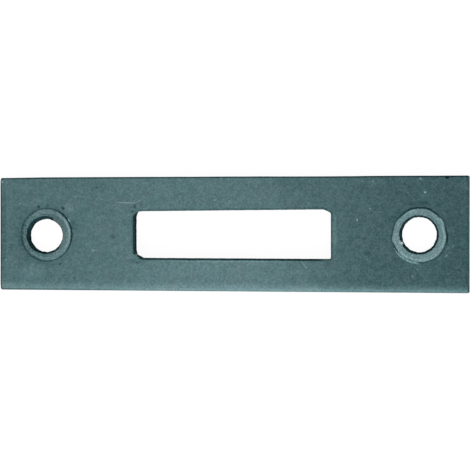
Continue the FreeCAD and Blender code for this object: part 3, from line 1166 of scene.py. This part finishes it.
@dataclass(frozen=True)
class Studio:
    """Pale floor, soft lamps and the camera."""

    lens_mm: float = 159.0
    camera_turn: tuple[float, float, float] = (-0.39, 12.65, 0.018)
    plate_in_view: tuple[float, float, float] = (1.17, -0.197, 397.15)
    floor_half: float = 3.0
    floor_glow: float = 0.92
    world_light: float = 0.75
    lamps: tuple[SoftBox, ...] = (
        SoftBox("overhead_softbox", (-0.21, -0.10, 0.60), (0.22, 0.22), 1.8),
        SoftBox("front_softbox", (0.16, -0.60, 0.46), (0.70, 0.32), 4.4),
    )

    def add_camera(self, front_face: float) -> None:
        """Stand the camera where the photograph was taken from.

        Args:
            front_face: height of the plate's front face in metres.
        """
        tilt, swing, roll = (math.radians(angle) for angle in self.camera_turn)
        turn = Matrix.Rotation(swing, 3, "Y") @ Matrix.Rotation(tilt, 3, "X") @ Matrix.Rotation(roll, 3, "Z")
        camera = bpy.data.cameras.new("photo_camera")
        camera.lens = self.lens_mm
        camera.sensor_width = 36.0
        camera.clip_start, camera.clip_end = 0.01, 20.0
        made = bpy.data.objects.new("photo_camera", camera)
        place = turn @ (Vector(self.plate_in_view) * MM) + Vector((0.0, 0.0, front_face))
        made.matrix_world = Matrix.Translation(place) @ turn.to_4x4()
        bpy.context.scene.collection.objects.link(made)
        bpy.context.scene.camera = made

    def seen_directly(self, bench: Bench) -> Socket:
        """1 for rays that carry the background itself: camera, glossy and transmission rays."""
        path = bench.place("LightPath").outputs
        either = bench.math("MAXIMUM", path["Is Camera Ray"], path["Is Glossy Ray"])
        return bench.math("MAXIMUM", either, path["Is Transmission Ray"])

    def add_floor(self) -> None:
        """Lay the floor just under the plate. From below it is see-through."""
        bm = bmesh.new()
        bmesh.ops.create_grid(bm, x_segments=1, y_segments=1, size=self.floor_half,
                              matrix=Matrix.Translation((0.0, 0.0, -0.02 * MM)))
        mesh = bpy.data.meshes.new("studio_floor")
        bm.to_mesh(mesh)
        bm.free()
        floor = bpy.data.objects.new("studio_floor", mesh)
        bpy.context.scene.collection.objects.link(floor)
        made = bpy.data.materials.new("studio_floor")
        made.use_nodes = True
        bench = Bench(made.node_tree)
        plain = bench.place("BsdfDiffuse", {"Color": (0.8, 0.8, 0.8, 1.0)})
        shaded = bench.place("BsdfDiffuse", {"Color": (0.12, 0.12, 0.12, 1.0)})
        glow = bench.place("Emission", {"Color": (1.0, 1.0, 1.0, 1.0), "Strength": self.floor_glow})
        lit = bench.place("AddShader", {0: shaded.outputs[0], 1: glow.outputs[0]})
        top = bench.place("MixShader", {0: self.seen_directly(bench), 1: plain.outputs[0], 2: lit.outputs[0]})
        below = bench.place("BsdfTransparent")
        side = bench.place("NewGeometry").outputs["Backfacing"]
        both = bench.place("MixShader", {0: side, 1: top.outputs[0], 2: below.outputs[0]})
        bench.join(both.outputs[0], bench.place("OutputMaterial").inputs["Surface"])
        mesh.materials.append(made)

    def add_world(self) -> None:
        """Even studio light, with a white background."""
        world = bpy.data.worlds.new("studio")
        world.use_nodes = True
        bench = Bench(world.node_tree)
        light = bench.place("Background", {"Color": (1.0, 1.0, 1.0, 1.0), "Strength": self.world_light})
        white = bench.place("Background", {"Color": (1.0, 1.0, 1.0, 1.0), "Strength": 1.0})
        both = bench.place("MixShader", {0: self.seen_directly(bench), 1: light.outputs[0], 2: white.outputs[0]})
        bench.join(both.outputs[0], bench.place("OutputWorld").inputs["Surface"])
        bpy.context.scene.world = world

    def build(self, front_face: float) -> None:
        """Set up the whole studio.

        Args:
            front_face: height of the plate's front face in metres.
        """
        self.add_world()
        self.add_floor()
        for lamp in self.lamps:
            lamp.build()
        self.add_camera(front_face)
        bpy.context.scene.view_settings.view_transform = "Standard"


def plain_rim_dark_line(outward: Vector) -> float:
    """Strength of the dark line round the plain rim: most at the right and the upper right."""
    return 0.34 + 0.48 * smooth_step(0.4, 0.95, outward.dot(Vector((0.94, 0.34, 0.0))))


def chattered_rim_dark_line(outward: Vector) -> float:
    """Strength of the dark line round the chattered rim: most at the top, the far right and beside the skid."""
    top = smooth_step(0.5, 0.95, outward.y)
    far_right = smooth_step(0.93, 0.99, outward.x)
    beside_skid = smooth_step(0.2, 0.7, -outward.x) * smooth_step(0.1, 0.6, -outward.y)
    return 0.22 + 0.5 * top + 0.45 * far_right + 0.35 * beside_skid


def main() -> None:
    """Build the plate, its finishes and the studio."""
    low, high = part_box(NODE)
    size = (high - low) / MM
    side = outer_side(size.x, size.y, size.z)
    left = ScrewHole("left_screw_hole", (-36.51, -0.19), 4.97, (-0.66, -0.09), (-0.77, -0.19), size.z,
                     lead_radius=3.64, squash=0.12,
                     dark_line=DarkEdgeLine(0.13, 0.25, plain_rim_dark_line))
    right = ScrewHole("right_screw_hole", (36.57, -0.15), 4.92, (-0.21, 0.03), (-0.29, 0.06), size.z,
                      lead_radius=3.63, bore_radius=3.31, lobes=ChatterLobes(), skid=SkidGroove(), nick=BoreNick(),
                      dark_line=DarkEdgeLine(0.17, 0.23, chattered_rim_dark_line))
    plate = StrikePlate(size.x, size.y, size.z, openings=[side, left, right, bolt_slot(size.z)]).build()
    kit = FinishKit()
    kit.build()
    for zone in Zone:
        plate.data.materials.append(FINISHES[zone].material(kit))
    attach(plate, BODY)
    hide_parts(NODE)
    log.info("plate dressed")
    Studio().build(high.z)
    log.info("studio ready")


if __name__ == "__main__":
    main()
